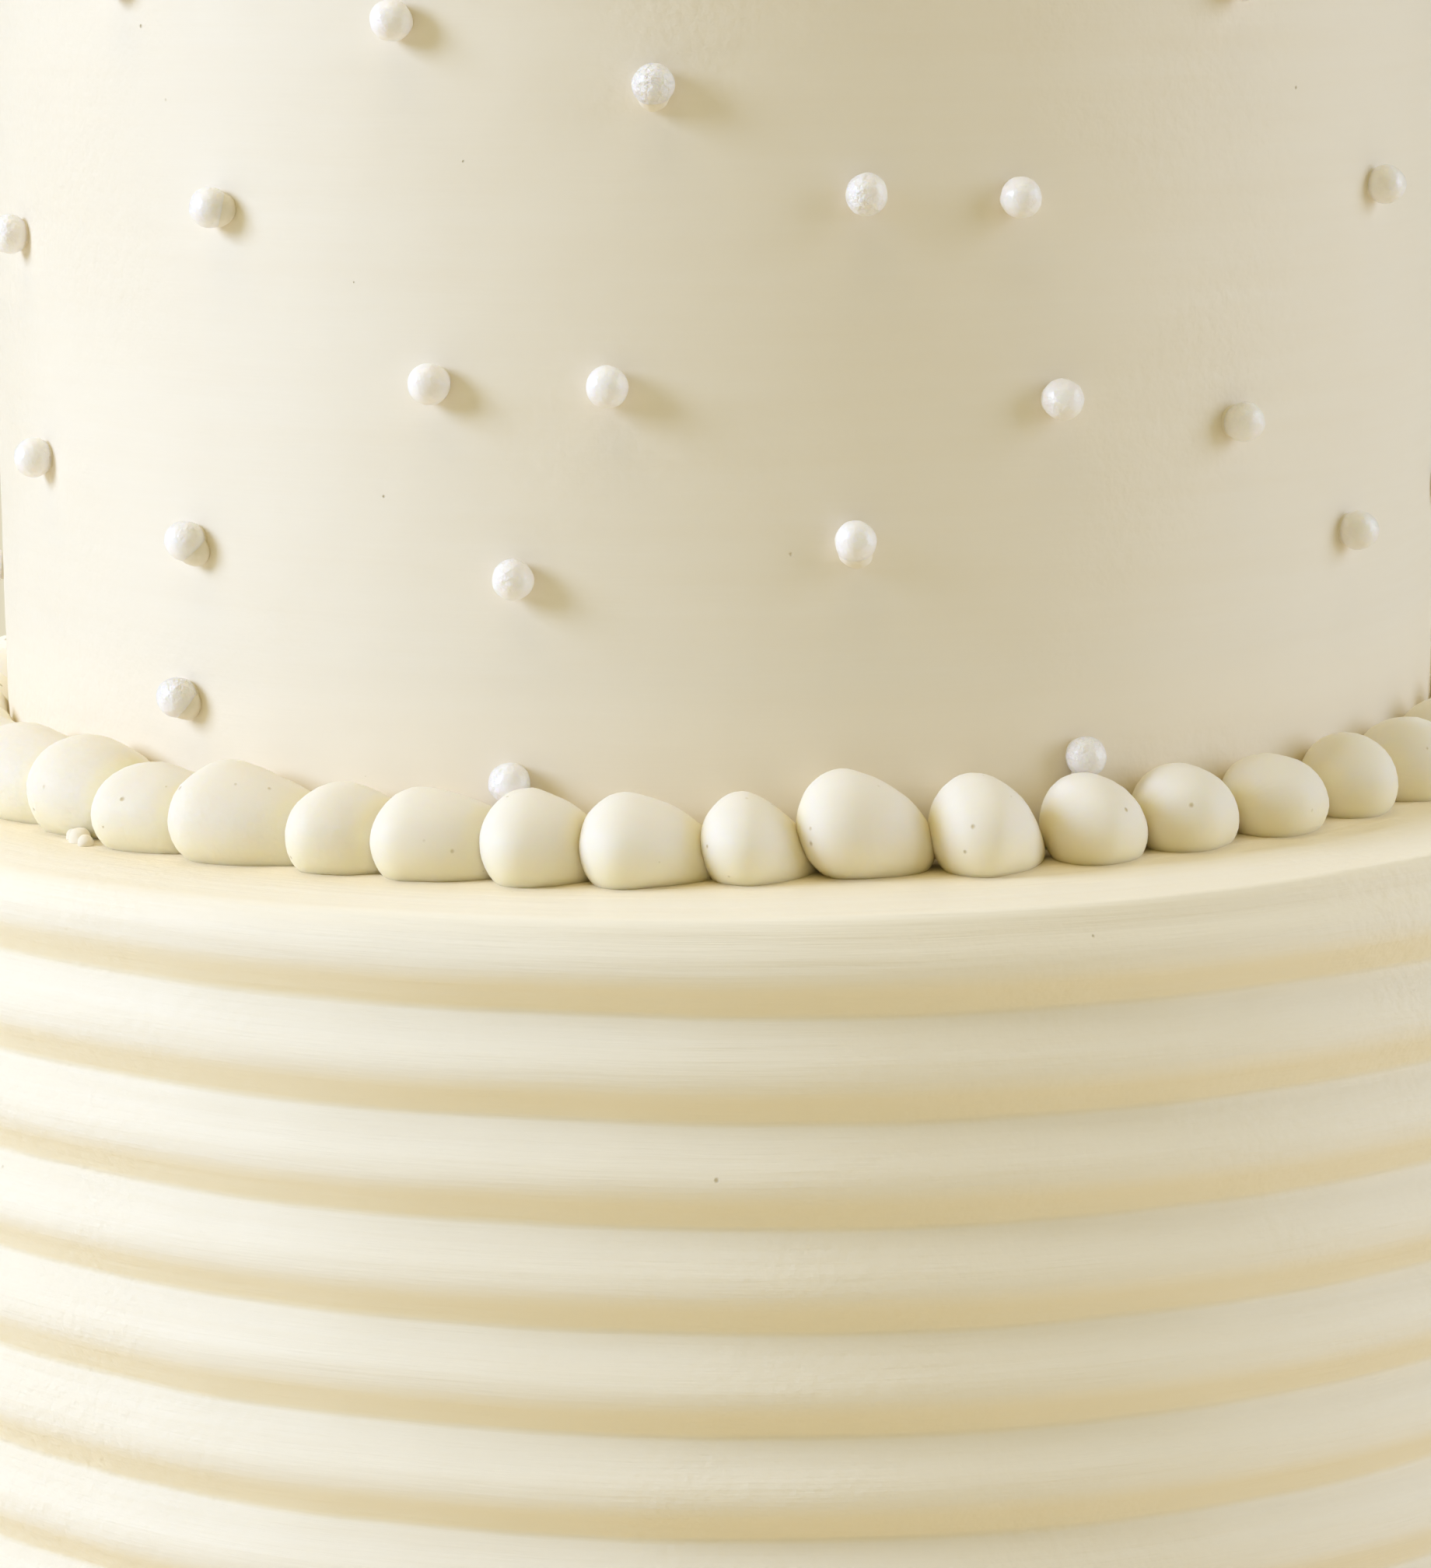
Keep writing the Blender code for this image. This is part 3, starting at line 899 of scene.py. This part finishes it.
def pearl_finish():
    """A cloudy white coat, crinkled in patches."""
    finish = bpy.data.materials.new("sugar_pearl")
    finish.use_nodes = True
    recipe = Recipe(finish.node_tree)
    shader = finish.node_tree.nodes["Principled BSDF"]
    place = recipe.node("ShaderNodeTexCoord").outputs["Object"]
    cloud = recipe.stretch(recipe.noise(place, 500.0), -0.15, 0.15, 0.0, 1.0)
    coat = recipe.node("ShaderNodeMix", {"Factor": cloud}, data_type="RGBA")
    recipe.feed(coat.inputs[6], (*PEARL_CLOUDY, 1))
    recipe.feed(coat.inputs[7], (*PEARL_CLEAR, 1))
    recipe.feed(shader.inputs["Base Color"], coat.outputs[2])
    patch = recipe.stretch(recipe.noise(place, 95.0), 0.0, 0.16, 0.0, 1.0)
    crinkle = recipe.product(recipe.noise(place, 1700.0, 3.0),
                             recipe.total(CRINKLE_HEIGHT, recipe.product(patch, CRINKLE_MORE)))
    bump = recipe.node("ShaderNodeBump", {"Height": crinkle, "Strength": 1.0, "Distance": 1.0})
    recipe.feed(shader.inputs["Normal"], bump.outputs[0])
    shader.inputs["Roughness"].default_value = 0.3
    shader.inputs["Subsurface Weight"].default_value = 0.5
    shader.inputs["Subsurface Radius"].default_value = (1.0, 0.85, 0.55)
    shader.inputs["Subsurface Scale"].default_value = 1.2 * MM
    shader.inputs["Sheen Weight"].default_value = 0.25
    shader.inputs["Sheen Roughness"].default_value = 0.35
    shader.inputs["Sheen Tint"].default_value = (1.0, 0.96, 0.90, 1)
    shader.inputs["Coat Weight"].default_value = 0.25
    shader.inputs["Coat Roughness"].default_value = 0.2
    return finish


PEARL_COAT = pearl_finish()
print("pearl finish")

# %% [markdown]
# Where they sit: the pearls at the front are where they were measured, in degrees
# to the right of the front and millimetres above the joint. The others are drawn
# at random, and a draw too close to another pearl is dropped, which spreads them
# as evenly as a careful hand does.

# %% Where the pearls sit
FRONT_PEARLS = (
    (-84.0, 20.5), (-65.0, 58.0), (-61.4, 35.5), (-47.7, 84.1), (-42.4, 13.8), (-41.1, 29.5),
    (-37.7, 62.2), (-22.2, 80.1), (-20.0, 46.1), (-14.2, 27.7), (-7.4, 46.1), (-4.0, 74.2),
    (9.4, 31.2), (10.3, 63.8), (21.3, 63.0), (24.5, 43.8), (39.9, 82.7), (40.4, 40.2),
    (54.4, 27.6), (58.1, 62.0), (78.0, 69.1), (78.0, 28.7), (-14.7, 8.1), (26.4, 9.1),
)
WALL_PEARLS = 66
TOP_PEARLS = 20
PEARL_APART = 15 * MM
FRONT_ARC = (-92.0, 88.0)
FRONT_TOP = 86 * MM
PEARL_LOW = 12 * MM
PEARL_HIGH = UPPER_HEIGHT - 8 * MM
CENTRE_STANDS = PEARL / 2 - PEARL_SUNK


def polar(radius, azimuth, height):
    """A point at an angle measured from the front, growing to the right."""
    return Vector((radius * math.sin(azimuth), -radius * math.cos(azimuth), height))


def pearl_places():
    """The centre of every pearl."""
    draw = random.Random(7)
    places = []

    def put(centre):
        """Keeps the pearl if no other is close by."""
        if all((centre - other).length > PEARL_APART for other in places):
            places.append(centre)

    for degrees, height in FRONT_PEARLS:
        places.append(polar(UPPER_RADIUS + CENTRE_STANDS, math.radians(degrees), JOINT + height * MM))
    while len(places) < WALL_PEARLS:
        degrees = draw.uniform(-180, 180)
        height = draw.uniform(PEARL_LOW, PEARL_HIGH)
        if FRONT_ARC[0] < degrees < FRONT_ARC[1] and height < FRONT_TOP:
            continue
        put(polar(UPPER_RADIUS + CENTRE_STANDS, math.radians(degrees), JOINT + height))
    while len(places) < WALL_PEARLS + TOP_PEARLS:
        radius = (UPPER_RADIUS - TOP_ROUND - PEARL) * math.sqrt(draw.random())
        put(polar(radius, draw.uniform(0, TAU), UPPER_TOP + CENTRE_STANDS))
    return places


PEARL_PLACES = pearl_places()
print(f"{len(PEARL_PLACES)} pearls placed")

# %% [markdown]
# One recipe makes both the pearls and the dabs of icing below: a ball is put on
# every point, at that point's own size, turned at random, made real and then
# dented by noise, so that no two are alike.

# %% The recipe for balls, and the pearls
def ball_recipe():
    """Geometry Nodes for a ball on each point, each turned and dented in its own way."""
    recipe, given = shape_recipe("dented_balls", (
        ("Dents", "size"), ("Seed", "count"), ("Material", "material")))
    ball = recipe.node("GeometryNodeMeshIcoSphere", {"Radius": 0.5, "Subdivisions": 4})
    own = recipe.node("GeometryNodeInputNamedAttribute", {"Name": "across"},
                      data_type="FLOAT").outputs[0]
    turns = recipe.node("FunctionNodeRandomValue", {"Seed": given["Seed"]}, data_type="FLOAT_VECTOR")
    recipe.feed(turns.inputs[1], (TAU, TAU, TAU))
    copies = recipe.node("GeometryNodeInstanceOnPoints", {
        "Points": given["Geometry"], "Instance": ball.outputs[0], "Rotation": turns.outputs[0],
        "Scale": own})
    real = recipe.node("GeometryNodeRealizeInstances", {"Geometry": copies.outputs[0]})
    dent = recipe.product(recipe.total(
        recipe.noise(recipe.place(), 260.0),
        recipe.product(recipe.noise(recipe.place(), 900.0), 0.35)), given["Dents"])
    serve(recipe, recipe.pushed(real.outputs[0], dent), given["Material"])
    return recipe


BALLS = ball_recipe()


def make_balls(name, balls, dents, seed, material):
    """Balls from a list of (centre, how far across)."""
    points = bpy.data.meshes.new(name + "_points")
    points.from_pydata([centre for centre, _ in balls], [], [])
    store = points.attributes.new("across", "FLOAT", "POINT")
    store.data.foreach_set("value", [across for _, across in balls])
    return run_recipe(name, BALLS, points, {"Dents": dents, "Seed": seed, "Material": material})


PEARL_DENTS = 0.5 * MM
pearls = make_balls("sugar_pearls", [(place, PEARL) for place in PEARL_PLACES], PEARL_DENTS, 11,
                    PEARL_COAT)
keep(pearls)

# %% [markdown]
# ### Dabs of icing
#
# A pearl pushed into soft icing raises a small collar round its foot, and some
# pearls dragged a nub of icing down with them. A few lumps of icing also lie at
# the foot of the beads on the left.

# %% The dabs of icing
# degrees to the right of the front, millimetres above the joint, how far across in millimetres
NUBS = ((-4.0, 73.1, 2.9), (9.5, 30.2, 3.5), (-40.7, 28.6, 3.2), (-42.0, 13.1, 3.2),
        (-37.3, 62.0, 3.4), (26.4, 7.4, 2.4))
# degrees, millimetres out from the axis, how far across in millimetres
LEDGE_LUMPS = ((-51.6, 85.8, 1.8), (-50.3, 86.5, 2.3), (-48.9, 86.9, 1.6), (-46.6, 88.1, 1.7),
               (-45.6, 88.6, 2.2), (-44.5, 89.3, 1.5))
COLLAR = 3.1 * MM
COLLAR_SUNK = 1.5 * MM
NUB_STANDS = 0.9 * MM
LUMP_STANDS = 0.3 * MM


def dabs():
    """Every dab of icing: its centre and how far across it is."""
    placed = []
    for place in PEARL_PLACES[:WALL_PEARLS]:
        flat = Vector((place.x, place.y, 0)).normalized()
        placed.append((place - flat * COLLAR_SUNK, COLLAR))
    for degrees, height, across in NUBS:
        centre = polar(UPPER_RADIUS + NUB_STANDS, math.radians(degrees), JOINT + height * MM)
        placed.append((centre, across * MM))
    for degrees, radius, across in LEDGE_LUMPS:
        centre = polar(radius * MM, math.radians(degrees), JOINT + LUMP_STANDS)
        placed.append((centre, across * MM))
    return placed


DAB_DENTS = 0.9 * MM
keep(make_balls("icing_dabs", dabs(), DAB_DENTS, 4, SMOOTH_CREAM))

# %% [markdown]
# ## Finish

# %% Finish
print("cake finished")
